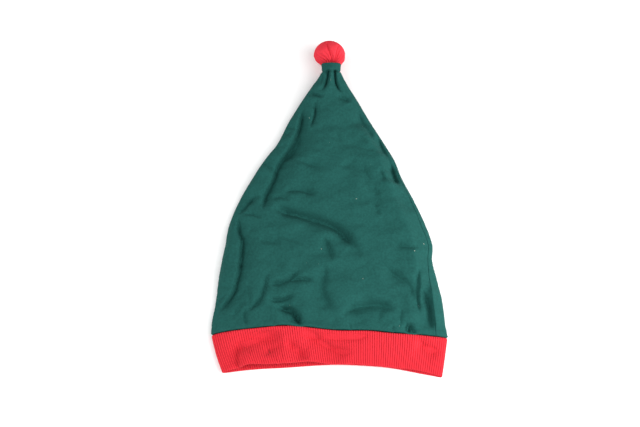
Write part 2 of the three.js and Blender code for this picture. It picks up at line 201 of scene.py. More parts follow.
# Creases in the upper layer: the depth, the widths on the left and right of the line when it is
# followed from its first point, how round the bottom is, and the line in plan.
crease_columns = ("name", "depth", "left", "right", "round", "line")
creases = [
    ("left long", 5.8, 5.0, 0.7, 0.4,
     [(-68.4, -11.6), (-68.5, -20.7), (-68.3, -26.5), (-65.9, -32.7), (-65.8, -41.1),
      (-66.6, -52.9), (-68.2, -65.2), (-71.5, -75.3), (-77.5, -84.1), (-83.6, -89.7)]),
    ("left edge", 2.4, 0.8, 2.0, 0.3, [(-74.6, -73.6), (-80.2, -79.5), (-86.7, -87.4)]),
    ("left branch", 0.5, 0.9, 2.0, 0.4, [(-65.5, -33.4), (-60.6, -27.0), (-55.3, -19.2)]),
    ("left wedge", 1.6, 1.1, 3.2, 0.8, [(-71.2, -79.1), (-64.2, -74.8), (-58.7, -68.2)]),
    ("wedge down", 1.6, 1.0, 2.4, 0.6, [(-59.5, -64.4), (-58.7, -75.6), (-57.9, -87.4)]),
    ("low left 1", 2.7, 0.8, 2.4, 0.4, [(-61.2, -84.8), (-61.3, -90.9), (-58.8, -101.2)]),
    ("low left 2", 1.9, 0.9, 2.4, 0.8, [(-61.5, -78.1), (-65.6, -86.1), (-71.4, -93.2)]),
    ("small long", 3.6, 0.8, 3.5, 0.3,
     [(-44.7, -56.3), (-46.1, -68.6), (-48.1, -76.4),
      (-50.8, -81.8), (-57.0, -86.8), (-63.4, -91.4)]),
    ("small soft", 4.6, 1.2, 3.0, 0.7,
     [(-46.5, -68.2), (-37.8, -67.8), (-30.8, -65.4), (-25.4, -61.2), (-20.4, -57.0)]),
    ("small top", 3.7, 0.9, 1.8, 0.4,
     [(-29.0, -67.0), (-24.4, -65.2),
      (-20.0, -64.3), (-15.4, -64.9), (-10.9, -66.6)]),
    ("small mid", 4.6, 1.0, 2.2, 0.4,
     [(-46.3, -79.6), (-39.6, -80.3),
      (-33.5, -79.7), (-27.2, -77.4), (-23.6, -79.3)]),
    ("s fold", 9.0, 1.2, 3.5, 1.0,
     [(-41.6, -85.9), (-35.0, -86.1), (-29.9, -86.9), (-26.2, -88.8),
      (-23.3, -92.6), (-21.4, -98.1), (-20.5, -102.3), (-19.7, -108.3)]),
    ("hollow left", 2.0, 3.2, 1.8, 1.7, [(-55.5, -36.9), (-45.1, -34.9), (-34.9, -38.6)]),
    ("hollow small", 1.5, 1.7, 2.4, 1.5, [(-43.1, -54.0), (-36.7, -52.5), (-30.2, -54.2)]),
    ("line mid", 1.2, 1.3, 1.9, 0.8, [(-44.8, -27.3), (-34.2, -31.9), (-21.7, -35.6)]),
    ("curl", 3.7, 1.1, 5.0, 0.7, [(-7.3, -32.5), (-1.2, -36.3), (1.5, -42.9), (2.8, -52.3)]),
    ("middle down", 4.1, 1.8, 9.0, 1.0,
     [(-2.7, -52.0), (-3.1, -62.1), (-4.4, -70.5),
      (-3.5, -77.1), (0.5, -83.4), (5.6, -90.7)]),
    ("seam dark", 1.0, 7.5, 1.9, 1.7, [(-22.4, -99.0), (-12.0, -98.0), (-0.6, -98.4), (14.0, -99.1)]),
    ("middle", 8.2, 1.8, 3.2, 2.4,
     [(-43.9, -8.0), (-36.2, -9.4), (-28.5, -11.6), (-20.2, -13.8), (-9.5, -17.1),
      (-0.5, -20.7), (5.9, -24.4), (10.8, -28.6), (16.2, -34.6), (22.1, -40.4)]),
    ("middle end", 1.5, 1.9, 8.0, 0.8, [(15.1, -35.5), (20.3, -40.2), (23.1, -48.8)]),
    ("right soft", 3.9, 2.6, 4.0, 0.8,
     [(39.2, -53.3), (46.7, -59.5), (53.8, -64.2),
      (59.0, -69.2), (62.0, -76.2), (62.4, -83.4)]),
    ("right flat", 2.7, 1.1, 3.0, 0.6, [(46.4, -35.8), (54.9, -38.4), (62.0, -39.5), (69.4, -39.9)]),
    ("right line", 3.4, 0.7, 3.0, 0.3,
     [(67.0, -53.0), (66.3, -68.0),
      (65.5, -76.4), (65.9, -85.4), (65.9, -92.8)]),
    ("right low", 4.6, 1.0, 6.0, 0.7,
     [(67.9, -70.1), (72.9, -80.9),
      (74.3, -87.6), (74.7, -93.5), (76.0, -103.5)]),
    ("seam hollow", 6.8, 1.9, 6.0, 1.5,
     [(8.1, -92.7), (19.1, -85.7),
      (30.8, -83.5), (41.1, -84.1), (49.8, -89.5)]),
    ("pleat 1", 1.3, 0.9, 2.0, 0.4, [(53.2, -85.2), (52.5, -93.8), (51.8, -101.7)]),
    ("valley up", 6.6, 6.5, 0.8, 0.8,
     [(-19.7, 79.8), (-21.4, 67.8), (-23.2, 59.6), (-25.4, 52.6), (-28.4, 44.8), (-33.1, 37.1),
      (-37.8, 29.9), (-40.9, 22.6), (-42.8, 15.9), (-46.0, 8.8), (-48.3, 3.0), (-49.0, -3.3),
      (-50.7, -11.1)]),
    ("valley mid", 2.4, 3.0, 1.6, 1.5, [(-20.8, 57.0), (-24.0, 46.5), (-29.0, 38.6), (-34.8, 30.1)]),
    ("top line", 3.4, 1.8, 0.7, 0.3, [(-10.8, 83.7), (-10.4, 74.7), (-11.5, 67.5), (-14.4, 59.2)]),
    ("top dash", 0.8, 0.9, 1.2, 0.4, [(-16.6, 57.7), (-11.8, 57.3), (-6.7, 57.1)]),
    ("neck left", 4.4, 0.8, 1.3, 0.3,
     [(0.6, 120.3), (0.2, 105.0),
      (-0.7, 99.7), (-2.9, 93.9), (-8.1, 90.6)]),
    ("neck dash", 3.4, 0.8, 1.6, 0.4, [(-15.6, 92.6), (-9.2, 87.9), (-2.6, 85.4)]),
    ("neck right", 4.6, 0.8, 1.3, 0.3,
     [(5.8, 120.3), (5.6, 105.1),
      (6.0, 99.0), (7.9, 93.5), (12.3, 88.1)]),
    ("neck dash right", 3.2, 1.4, 3.0, 0.8, [(4.7, 86.4), (10.6, 86.0), (14.4, 84.4), (18.2, 80.5)]),
    ("edge 1", 1.7, 1.0, 1.6, 0.8, [(-34.8, 63.9), (-29.4, 60.8), (-24.1, 57.6)]),
    ("edge 2", 1.9, 1.0, 1.6, 0.8, [(-38.0, 59.0), (-32.7, 55.7), (-27.4, 54.0)]),
    ("edge 3", 1.3, 0.9, 2.4, 0.6, [(-47.3, 44.9), (-38.7, 44.6), (-30.2, 46.0)]),
    ("edge 4", 2.7, 1.0, 2.1, 0.8, [(-54.9, 36.1), (-46.4, 26.6), (-38.4, 18.8)]),
    ("knot 1", 1.7, 0.9, 2.4, 0.6, [(-58.8, 2.4), (-52.6, 2.5), (-46.4, 5.9)]),
    ("knot 2", 3.6, 1.0, 1.8, 0.4, [(-53.6, 5.0), (-61.2, -4.0), (-64.7, -8.4), (-72.3, -12.9)]),
    ("knot 3", 2.6, 0.9, 1.0, 0.3, [(-66.9, -11.2), (-58.5, -12.8), (-48.9, -16.2)]),
    ("knot 4", 0.7, 0.9, 1.6, 0.4, [(-49.6, -1.7), (-55.5, -9.1)]),
    ("soft 1", 2.4, 2.4, 1.5, 1.2, [(-44.0, 0.3), (-36.6, 2.0), (-28.9, -2.9)]),
    ("soft 2", 1.7, 2.4, 1.4, 1.0, [(-25.9, 33.0), (-16.5, 28.9), (-6.3, 25.4)]),
    ("soft 3", 1.2, 1.4, 2.4, 1.0, [(8.6, 24.6), (15.7, 28.5), (22.8, 33.4)]),
    ("soft 4", 1.3, 1.2, 2.8, 0.9, [(4.9, 57.2), (7.3, 52.3), (9.8, 45.8)]),
    ("soft 5", 1.5, 2.4, 1.4, 1.0, [(15.6, 47.7), (25.6, 42.4), (40.4, 39.3)]),
    ("soft 6", 4.4, 3.0, 1.9, 1.2, [(-36.5, 5.4), (-21.9, 6.8), (-8.1, 1.7)]),
    ("right 1", 4.1, 1.9, 4.0, 1.1, [(22.2, 77.5), (26.8, 66.3), (32.2, 56.8), (38.4, 49.4)]),
    ("right 2", 1.1, 1.3, 0.9, 0.6, [(22.6, 53.5), (26.8, 49.6), (31.4, 45.3)]),
    ("right 3", 1.3, 0.9, 1.4, 0.6, [(30.9, 56.9), (34.0, 51.7), (37.5, 46.1)]),
    ("right 4", 3.8, 1.4, 3.0, 0.7, [(37.6, 57.0), (40.5, 49.2), (43.0, 42.0), (46.6, 34.0)]),
    ("right bridge", 1.8, 1.2, 2.4, 0.7, [(44.4, 40.0), (47.4, 33.4), (49.6, 27.0)]),
    ("right pocket", 4.7, 1.3, 3.0, 0.7, [(47.6, 31.6), (49.6, 25.6), (51.4, 18.6), (54.6, 11.0)]),
    ("right 5", 1.7, 1.3, 2.4, 0.9, [(48.2, 32.6), (51.5, 21.4), (55.1, 10.2)]),
    ("right 6", 1.2, 0.9, 1.6, 0.7, [(25.1, 27.4), (28.8, 21.0), (32.5, 14.0)]),
    ("right 7", 2.3, 1.0, 2.0, 0.7, [(39.0, 24.8), (41.6, 18.7), (44.2, 12.2)]),
    ("right 8", 2.0, 1.0, 2.0, 0.7, [(32.5, 10.5), (36.1, 6.0), (40.6, 1.3)]),
    ("right 9", 1.6, 1.3, 2.0, 0.9, [(25.2, 15.7), (29.8, 9.7), (34.8, 3.6)]),
    ("right 10", 1.5, 1.3, 2.8, 0.9, [(33.6, -2.7), (36.1, -8.8), (38.7, -15.7)]),
    ("left roll low", -3.6, 8.0, 3.0, 2.0,
     [(-73.1, -15.9), (-76.6, -36.0),
      (-79.7, -55.8), (-82.9, -73.9)]),
    ("left roll up", -2.8, 6.0, 2.5, 2.0,
     [(-30.6, 76.5), (-39.2, 55.3),
      (-50.8, 31.7), (-60.2, 14.7), (-67.6, 0.7)]),
    ("right roll", -3.0, 4.0, 9.0, 3.0,
     [(23.7, 68.6), (36.6, 40.9), (48.2, 7.1),
      (60.1, -27.2), (64.6, -50.8), (68.6, -80.0), (71.6, -100.7)]),
]

# Dents along the stitching of the hem, and small pleats where the cuff is sewn on, in the same
# columns as the creases. A depth below 0 lifts the cloth.
hem_dents = [
    ("hem dent left", 2.2, 0.6, 0.6, 0.4, [(-4.4, 106.4), (-1.6, 106.0), (1.0, 106.2)]),
    ("hem dent right", 2.2, 0.6, 0.6, 0.4, [(4.0, 106.4), (6.5, 106.2), (9.0, 106.6)]),
    ("neck short left", 1.6, 0.7, 1.0, 0.4, [(-4.2, 106), (-4.6, 101), (-6.8, 96)]),
    ("neck short right", 1.2, 0.7, 1.0, 0.4, [(9.2, 106), (10.0, 101.5), (12.6, 97)]),
]
seam_pleats = [
    ("seam pleat 1", 3.2, 0.7, 1.0, 0.3, [(57.1, -95.9), (56.7, -98.6), (56.0, -101.8), (55.5, -104.5)]),
    ("seam pleat 2", 3.8, 0.7, 1.0, 0.3, [(59.1, -96.2), (58.7, -99.4), (58.4, -102.5), (58.0, -106.8)]),
    ("seam pleat 3", 3.4, 0.7, 1.0, 0.3, [(58.5, -97.4), (59.9, -100.1), (61.7, -103.1), (63.8, -106.8)]),
    ("seam pleat 4", 1.2, 0.8, 1.4, 0.3, [(45.7, -98.1), (46.3, -101.4), (46.4, -105.5)]),
    ("seam pleat 5", 1.2, 0.8, 1.4, 0.3, [(-39.3, -94.4), (-40.2, -97.4), (-40.6, -101.8)]),
    ("seam pleat 6", 1.2, 0.8, 1.6, 0.3, [(14.1, -95.7), (15.1, -99.4), (15.5, -104.3)]),
    ("right strip", -3.4, 7.0, 0.9, 0.8,
     [(75.2, -64.2), (76.2, -76.9), (77.2, -89.5), (78.4, -97.0), (79.6, -103.5)]),
]


def smooth_rows(columns, rows, along):
    """Reads each column of a table of sections at any place along the hat, on a smooth curve."""
    rows = np.array(rows, float)
    place = rows[:, 0]
    slope = np.zeros_like(rows)
    slope[1:-1] = (rows[2:] - rows[:-2]) / (place[2:] - place[:-2])[:, None]
    slope[0] = 1.5 * (rows[1] - rows[0]) / (place[1] - place[0]) - 0.5 * slope[1]
    slope[-1] = 1.5 * (rows[-1] - rows[-2]) / (place[-1] - place[-2]) - 0.5 * slope[-2]
    low = np.clip(np.searchsorted(place, along) - 1, 0, len(place) - 2)
    gap = (place[low + 1] - place[low])[..., None]
    t = (along - place[low])[..., None] / gap
    value = ((2 * t**3 - 3 * t**2 + 1) * rows[low] + (t**3 - 2 * t**2 + t) * gap * slope[low]
             + (3 * t**2 - 2 * t**3) * rows[low + 1] + (t**3 - t**2) * gap * slope[low + 1])
    return {name: value[..., i] for i, name in enumerate(columns)}


def fade(value, start, end):
    """Rises smoothly from 0 at start to 1 at end."""
    t = np.clip((value - start) / (end - start), 0, 1)
    return t * t * (3 - 2 * t)


def across_at(turn):
    """Turns 0 to 1 run over the upper layer from the left fold to the right, 1 to 2 back below."""
    turn = np.mod(turn, 2)
    upper = turn <= 1
    walk = np.where(upper, turn, turn - 1)
    across = (1 - EDGE_CROWDING) * (2 * walk - 1) - EDGE_CROWDING * np.cos(np.pi * walk)
    return np.where(upper, across, -across), upper


def turn_at(across):
    """The turn on the upper layer at a place across, from -1 to 1."""
    turns = np.linspace(0, 1, TURN_SAMPLES)
    return np.interp(across, across_at(turns)[0], turns)


def ring_point(section, turn):
    """A point of a flattened ring of cloth with a puffed top and a flat underside."""
    across, upper = across_at(turn)
    half_width = (section["right"] - section["left"]) / 2
    middle = (section["right"] + section["left"]) / 2
    rounding = np.clip(section.get("round", 0), 0, 1)
    lift = np.maximum(section.get("lift", 0), 0)
    reach = np.minimum(np.abs(across), 1)
    power = TOP_FULLNESS + (2 - TOP_FULLNESS) * rounding
    top = section["edge"] + (section["top"] - section["edge"]) * (1 - reach**power) ** (1 / power)
    roll = section["edge"] - lift
    inset = np.minimum(half_width * (1 - reach) / roll, 1)
    rolled = np.sqrt(1 - (1 - inset) ** 2)
    circle = np.sqrt(1 - reach**2)
    below = section["edge"] - roll * (rolled + (circle - rolled) * rounding)
    return middle + half_width * across, np.where(upper, top, below), across, upper


def bow(line, across, upper):
    """How far the line across a layer bows towards the tip."""
    arch = np.where(upper, line["arch_up"], line["arch_down"])
    lean = np.where(upper, line["lean_up"], line["lean_down"])
    return line["tilt"] * across + arch * (1 - np.abs(across) ** ARCH_FULLNESS) * (1 - lean * across)


def wave(rows, across):
    """Small waves along a seam or a rim: the place across, the half width and the height."""
    return sum(height * np.exp(-(((across - place) / width) ** 2)) for place, width, height in rows)


def smooth_line(points):
    """Points on a smooth line through the given ones."""
    points = np.array(points, float)
    ends = np.concatenate([2 * points[:1] - points[1:2], points, 2 * points[-1:] - points[-2:-1]])
    line = [points[:1]]
    for a, b, c, d in zip(ends, ends[1:], ends[2:], ends[3:]):
        count = max(2, math.ceil(np.linalg.norm(c - b) / LINE_STEP))
        t = np.arange(1, count + 1)[:, None] / count
        bend = 2 * a - 5 * b + 4 * c - d
        twist = 3 * b - a - 3 * c + d
        line.append((2 * b + (c - a) * t + bend * t**2 + twist * t**3) / 2)
    return np.concatenate(line)


def crease_dip(rows, x, y):
    """How far a layer of cloth dips into its creases, which taper off at both ends."""
    dip = np.zeros_like(x)
    for row in rows:
        crease = dict(zip(crease_columns, row))
        line = smooth_line(crease["line"])
        low, high = line.min(0) - CREASE_REACH, line.max(0) + CREASE_REACH
        near = (x > low[0]) & (x < high[0]) & (y > low[1]) & (y < high[1])
        steps = np.diff(line, axis=0)
        lengths = np.linalg.norm(steps, axis=1)
        nearest = np.full(near.sum(), np.inf)
        side = np.zeros_like(nearest)
        place = np.zeros_like(nearest)
        for start, step, length, before in zip(line, steps, lengths, np.cumsum(lengths) - lengths):
            off_x, off_y = x[near] - start[0], y[near] - start[1]
            share = np.clip((off_x * step[0] + off_y * step[1]) / length**2, 0, 1)
            distance = np.hypot(off_x - share * step[0], off_y - share * step[1])
            closer = distance < nearest
            nearest = np.where(closer, distance, nearest)
            side = np.where(closer, step[0] * off_y - step[1] * off_x, side)
            place = np.where(closer, before + share * length, place)
        total = lengths.sum()
        from_end = np.minimum(place, total - place)
        opening = fade(from_end, 0, min(CREASE_REACH, SHORTEST_END + OPENING_SHARE * total))
        full_width = np.where(side > 0, crease["left"], crease["right"])
        width = CREASE_END + (full_width - CREASE_END) * opening
        taper = fade(from_end, 0, min(CREASE_TAPER, SHORTEST_END + TAPER_SHARE * total))
        rounded = np.hypot(nearest, crease["round"]) - crease["round"]
        shape = np.exp(-rounded / width)
        shape = shape * (1 - fade(nearest, CREASE_REACH - CREASE_FADE, CREASE_REACH))
        dip[near] += crease["depth"] * taper * shape
    return dip


def crumple(x, y):
    """Faint waves all over the cloth, most of them running across the hat."""
    waves = np.random.default_rng(CRUMPLE_SEED)
    height = np.zeros_like(x)
    for length in np.linspace(CRUMPLE_SHORTEST, CRUMPLE_LONGEST, CRUMPLE_COUNT):
        angle = waves.normal(math.pi / 2, CRUMPLE_SPREAD)
        phase = waves.uniform(0, 2 * math.pi)
        way = x * math.cos(angle) + y * math.sin(angle)
        height += CRUMPLE_HEIGHT * length * np.sin(2 * math.pi * way / length + phase)
    return height


def settle(height):
    """Keeps a sinking layer off the one below, which it nears but never meets."""
    room = SOFT_FLOOR - LOWEST
    return np.where(height < SOFT_FLOOR, LOWEST + room * np.exp((height - SOFT_FLOOR) / room), height)


# The seam with the cuff: how it tilts and arches across both layers, and its small waves.
seam_line = {"tilt": -1.1, "arch_up": 4.1, "lean_up": 0.9, "arch_down": 4.5, "lean_down": 0}
seam_waves = [(-0.36, 0.2, 1.4), (0.05, 0.14, -0.6), (0.34, 0.12, 0.7), (0.68, 0.2, 0.5)]


def crown_points(along, turn):
    """The outer face of the crown: its puffed section, the creases and the gathers of the neck."""
    section = smooth_rows(crown_columns, crown_rows, along)
    x, z, across, upper = ring_point(section, turn)
    seam = bow(seam_line, across, upper) + np.where(upper, wave(seam_waves, across), 0)
    bowed = along + seam * (1 - fade(along, CROWN_START, CROWN_START + ARCH_FADE))
    dip = (crease_dip(creases, x, bowed) + crumple(x, bowed)) * (1 - across**FLAT_SIDES)
    dip = dip * fade(along, *CREASES_BEGIN) * (1 - fade(along, *CREASES_CEASE))
    dip = dip + crease_dip(hem_dents, x, bowed)
    dip = dip + crease_dip(seam_pleats, x, bowed) * fade(along, *SEAM_PLEATS_BEGIN)
    z = np.where(upper, z + np.minimum(settle(z - dip) - settle(z), MOST_RISE), z)
    middle = (section["left"] + section["right"]) / 2
    angle = np.arctan2(z - section["edge"], x - middle)
    gathered = fade(along, NECK_START, PLEATS_FULL) * (1 - fade(along, PLEATS_FULL, PLEATS_END))
    pleat_depth = np.where(upper, PLEAT_DEPTH_ABOVE, PLEAT_DEPTH_BELOW)
    pleat = gathered * (np.cos(NECK_PLEATS * (angle - math.pi / 2)) - 1) / 2 * pleat_depth
    from_stitching = (along - HEM_START + STITCHING_TO_HEM) / STITCHING_WIDTH
    radial = pleat - STITCHING_DEPTH * np.exp(-(from_stitching**2))
    lean = HEM_REACH - HEM_LEAN * np.maximum(z - section["edge"], 0)
    y = bowed + lean * fade(along, *LEAN_SPAN)
    return np.stack([x + radial * np.cos(angle), y, z + radial * np.sin(angle)], -1)


def grid_normals(points):
    """Outward directions on a grid of points, rows running along the hat and columns round it."""
    around = np.gradient(points, axis=1)
    along = np.gradient(points, axis=0)
    normal = np.cross(around, along)
    return normal / np.maximum(np.linalg.norm(normal, axis=-1, keepdims=True), TINY)


def lengths_from_start(points, axis):
    """The length of cloth from the first point of each row or column."""
    steps = np.linalg.norm(np.diff(points, axis=axis), axis=-1)
    zero = np.zeros_like(np.take(steps, [0], axis=axis))
    return np.concatenate([zero, np.cumsum(steps, axis=axis)], axis=axis)


def roll_in(distance, radius):
    """How deep an edge that is turned in over a radius lies at a distance from the edge."""
    inside = np.clip(radius - distance, 0, radius)
    return radius - np.sqrt(radius**2 - inside**2)


def stops(*spans):
    """Places from the first number on, where each further pair is an end and a count of steps."""
    places = [np.array([spans[0]], float)]
    for end, count in zip(spans[1::2], spans[2::2]):
        places.append(np.linspace(places[-1][-1], end, count + 1)[1:])
    return np.concatenate(places)


def edge_spans(edge, way):
    """Close mesh lines where cloth is turned in at an edge, as spans for stops."""
    return (edge, edge + way * 0.06, 1, edge + way * 0.3, 2, edge + way * 1.2, 2)


def shell_mesh(name, outer, thickness, cut):
    """A closed wall of cloth from a grid of outer points, with the cut pattern as its UV map."""
    step = INSIDE_STEP
    inner = (outer - grid_normals(outer) * thickness)[::step, ::step]
    points = np.concatenate([outer.reshape(-1, 3), inner.reshape(-1, 3)]) * MM
    flat = np.concatenate([cut.reshape(-1, 2), cut[::step, ::step].reshape(-1, 2)]) * MM
    index = np.arange(outer[..., 0].size).reshape(outer.shape[:2])
    inside = np.arange(inner[..., 0].size).reshape(inner.shape[:2]) + outer[..., 0].size
    a, b, c, d = index[:-1, :-1], index[:-1, 1:], index[1:, 1:], index[1:, :-1]
    faces = np.stack([a, b, c, d], -1).reshape(-1, 4).tolist()
    a, b, c, d = inside[:-1, :-1], inside[1:, :-1], inside[1:, 1:], inside[:-1, 1:]
    faces += np.stack([a, b, c, d], -1).reshape(-1, 4).tolist()
    borders = [
        (index[0][::-1], inside[0][::-1]),
        (index[-1], inside[-1]),
        (index[:, 0], inside[:, 0]),
        (index[:, -1][::-1], inside[:, -1][::-1]),
    ]
    for line, line_inside in borders:
        for i in range(len(line_inside) - 1):
            along_edge = line[i * step:(i + 1) * step + 1].tolist()
            faces.append([*along_edge, int(line_inside[i + 1]), int(line_inside[i])])
    mesh = bpy.data.meshes.new(name)
    mesh.from_pydata(points.tolist(), [], faces)
    corners = np.zeros(len(mesh.loops), int)
    mesh.loops.foreach_get("vertex_index", corners)
    mesh.uv_layers.new(name="cut").data.foreach_set("uv", flat[corners].reshape(-1))
    mesh.polygons.foreach_set("use_smooth", np.ones(len(mesh.polygons), bool))
    mesh.update()
    return mesh


def new_piece(name, mesh, finish, node):
    """Puts a piece of the hat in place of its solid."""
    piece = bpy.data.objects.new(name, mesh)
    bpy.context.collection.objects.link(piece)
    mesh.materials.append(finish)
    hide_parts(node)
    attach(piece, "root")
    return piece


# Mesh lines along the crown, close together where the cloth is turned in at both ends.
crown_lines = stops(*edge_spans(CROWN_START, 1), NECK_START, 243, CROWN_END - 0.9, 60,
                    CROWN_END - 0.2, 2, CROWN_END, 2)


def crown_panel(name, layer, column_shares, finish, node):
    """A panel from one side seam to the other, mostly in layer 0, the upper one, or 1, the lower."""
    along = crown_lines
    seam_turn = turn_at(smooth_rows(crown_columns, crown_rows, along)["seam"]) + layer
    beside = crown_points(along, seam_turn) - crown_points(along, seam_turn - SEAM_PROBE)
    gap = SIDE_GAP / 2 * SEAM_PROBE / np.linalg.norm(beside, axis=-1)
    end = seam_turn - gap
    start = seam_turn - 1 + gap
    turn = start[:, None] + (end - start)[:, None] * column_shares[None, :]
    outer = crown_points(np.broadcast_to(along[:, None], turn.shape), turn)
    across_length = lengths_from_start(outer, 1)
    along_length = lengths_from_start(outer, 0)
    edge_distance = np.minimum(across_length, across_length[:, -1:] - across_length)
    depth = np.maximum(roll_in(edge_distance, SIDE_ROLL), roll_in(along_length, CUFF_ROLL))
    depth = np.maximum(depth, roll_in(along_length[-1:] - along_length, HEM_ROLL))
    outer = outer - grid_normals(outer) * depth[..., None]
    centre = across_length[:, across_length.shape[1] // 2][:, None]
    cut = np.stack([across_length - centre, along_length], -1)
    wall = JERSEY + (HEM - JERSEY) * fade(along, PLEATS_FULL, HEM_START)[:, None, None]
    return new_piece(name, shell_mesh(name, outer, wall, cut), finish, node)


# The green dye and the knit of the jersey, and the share, size and colour of its specks of lint.
GREEN_DARK = (0.0079, 0.0553, 0.0482, 1)
GREEN_LIGHT = (0.0131, 0.0839, 0.0734, 1)
GREEN_LINT = 0.05
LINT_CELLS = 110.0
LINT_SIZE = 0.04
LINT_PALE = (0.3, 0.36, 0.3, 1)
FINE_MOTTLE = 650.0
BROAD_MOTTLE = 70.0
BROAD_SHARE = 0.35
JERSEY_WALE = 0.9
JERSEY_COURSE = 0.65
STITCH_RELIEF = 0.12


def add_node(tree, kind, inputs, **settings):
    """Adds a shader node with its settings and inputs."""
    node = tree.nodes.new(kind)
    for name, value in settings.items():
        setattr(node, name, value)
    fill_inputs(tree, node, inputs)
    return node


def math_node(tree, operation, *values):
    """Adds a step of arithmetic to a material and gives its result."""
    node = add_node(tree, "ShaderNodeMath", dict(enumerate(values)), operation=operation)
    return node.outputs["Value"]


def mottle(tree, scale):
    """Unevenness of a dye, finer with a larger scale."""
    place = add_node(tree, "ShaderNodeTexCoord", {})
    noise = add_node(tree, "ShaderNodeTexNoise",
                     {"Vector": place.outputs["Object"], "Scale": scale, "Detail": 3.0, "Roughness": 0.6})
    return noise.outputs["Fac"]


def knit_height(tree, wale, course):
    """The way from a column of stitches to the next, and the height of its slanted stitches."""
    cut = add_node(tree, "ShaderNodeUVMap", {}, uv_map="cut")
    split = add_node(tree, "ShaderNodeSeparateXYZ", {"Vector": cut.outputs["UV"]})
    column = math_node(tree, "DIVIDE", split.outputs["X"], wale * MM)
    leg = math_node(tree, "PINGPONG", column, 0.5)
    row = math_node(tree, "DIVIDE", split.outputs["Y"], course * MM)
    slant = math_node(tree, "ADD", row, leg)
    stitch = math_node(tree, "SINE", math_node(tree, "MULTIPLY", slant, 2 * math.pi))
    return leg, math_node(tree, "MULTIPLY_ADD", stitch, STITCH_RELIEF, leg)


def jersey_finish(name, dark, light, lint):
    """Matt cotton jersey: knitted relief, a fine mottle in the dye and a few specks of lint."""
    finish, tree, shader = new_material(name)
    fine, broad = mottle(tree, FINE_MOTTLE), mottle(tree, BROAD_MOTTLE)
    blend = math_node(tree, "MULTIPLY_ADD", broad, BROAD_SHARE, fine)
    spread = add_node(tree, "ShaderNodeMapRange", {"Value": blend, "From Min": 0.4, "From Max": 0.95})
    base_colour = add_node(tree, "ShaderNodeMix", {"Factor": spread.outputs["Result"], "A": dark, "B": light},
                   data_type="RGBA")
    cut = add_node(tree, "ShaderNodeUVMap", {}, uv_map="cut")
    cells = add_node(tree, "ShaderNodeTexVoronoi", {"Vector": cut.outputs["UV"], "Scale": LINT_CELLS},
                     voronoi_dimensions="2D")
    chance = add_node(tree, "ShaderNodeSeparateColor", {"Color": cells.outputs["Color"]})
    size = math_node(tree, "MULTIPLY", chance.outputs["Green"], LINT_SIZE)
    near = math_node(tree, "LESS_THAN", cells.outputs["Distance"], size)
    chosen = math_node(tree, "LESS_THAN", chance.outputs["Red"], lint)
    speck = math_node(tree, "MULTIPLY", near, chosen)
    specked = add_node(tree, "ShaderNodeMix", {"Factor": speck, "A": base_colour.outputs["Result"], "B": LINT_PALE},
                       data_type="RGBA")
    _, stitch = knit_height(tree, JERSEY_WALE, JERSEY_COURSE)
    bump = add_node(tree, "ShaderNodeBump", {"Height": stitch, "Strength": 0.35, "Distance": 0.0002})
    fill_inputs(tree, shader, {"Base Color": specked.outputs["Result"], "Normal": bump.outputs["Normal"],
                               "Roughness": 0.92, "Specular IOR Level": 0.1})
    return finish


green_jersey = jersey_finish("green_jersey", GREEN_DARK, GREEN_LIGHT, GREEN_LINT)

# Mesh columns as shares of the panel's width, close together at both side seams.
front_shares = stops(0, 0.0008, 1, 0.004, 2, 0.996, 228, 0.9992, 2, 1, 1)
front = crown_panel("crown_front_jersey", 0, front_shares, green_jersey, "crown_front")

# The crown's back panel.
# It is the same jersey. It lies on the table and wraps round the right edge, where its seam with
# the front panel shows on top.

# Mesh columns, closer where the panel wraps round the right edge.
back_shares = stops(0, 0.0008, 1, 0.004, 2, 0.14, 36, 0.996, 66, 0.9992, 2, 1, 1)
back = crown_panel("crown_back_jersey", 1, back_shares, green_jersey, "crown_back")

# The cuff.
# It is a band of red 1x1 rib knit, folded double at the mouth and sewn to both panels of the crown.
RIB_KNIT = 1.0
CUFF_THICKNESS = 2.2
CUFF_GAP = 0.35
RIBS = 206
RIB_PITCH = 1.67
RIB_COURSE = 1.1
RIB_DEPTH = 0.65
RIB_ROUNDNESS = 0.8
# RIB_DARK is painted shade in the rib grooves and RIB_LIGHT the colour of the crests; a random mottle also
# blends the two.
RIB_DARK = (0.43, 0.0104, 0.0174, 1)
RIB_LIGHT = (0.69, 0.029, 0.0455, 1)
RIB_MOTTLE = 800.0
MOTTLE_SHARE = 0.6
CREST_SHADE = 0.6
GROOVE_SHADE = -1.3
FLAT_ENDS = 12
DENT_FADE = 5
COLUMNS_PER_RIB = 8
RING_SAMPLES = 3001

# Sections of the cuff from the rim to the seam: the columns of the crown's sections, and how the
# line across tilts and arches. The waves lie along the front and back rim, and the lifts open the
# mouth at the left.
cuff_columns = ("along", "left", "right", "top", "edge",
                "tilt", "arch_up", "lean_up", "arch_down", "lean_down")
cuff_rows = [
    (-132.9, -77.6, 82.0, 7.4, 3.9, -1.5, 8.3, 0.24, 7.5, -0.2),
    (-120, -82.4, 84.6, 10.6, 3.9, -1.3, 5.8, 0.5, 6.2, -0.1),
    (CROWN_START - CUFF_GAP, -86.2, 87.0, 12.6, 3.9, -1.1, 4.1, 0.9, 4.5, 0),
]
rim_waves = [(-0.76, 0.12, 1.3), (-0.5, 0.22, -0.9), (-0.22, 0.14, 0.5), (0.03, 0.13, -1.1),
             (0.75, 0.2, 1.1)]
rim_lifts = [(-0.78, 0.13, 2.6), (-0.5, 0.26, 2.6)]
back_rim_waves = [(-0.42, 0.25, -0.9), (0.05, 0.15, 0.3), (0.78, 0.2, -0.9)]

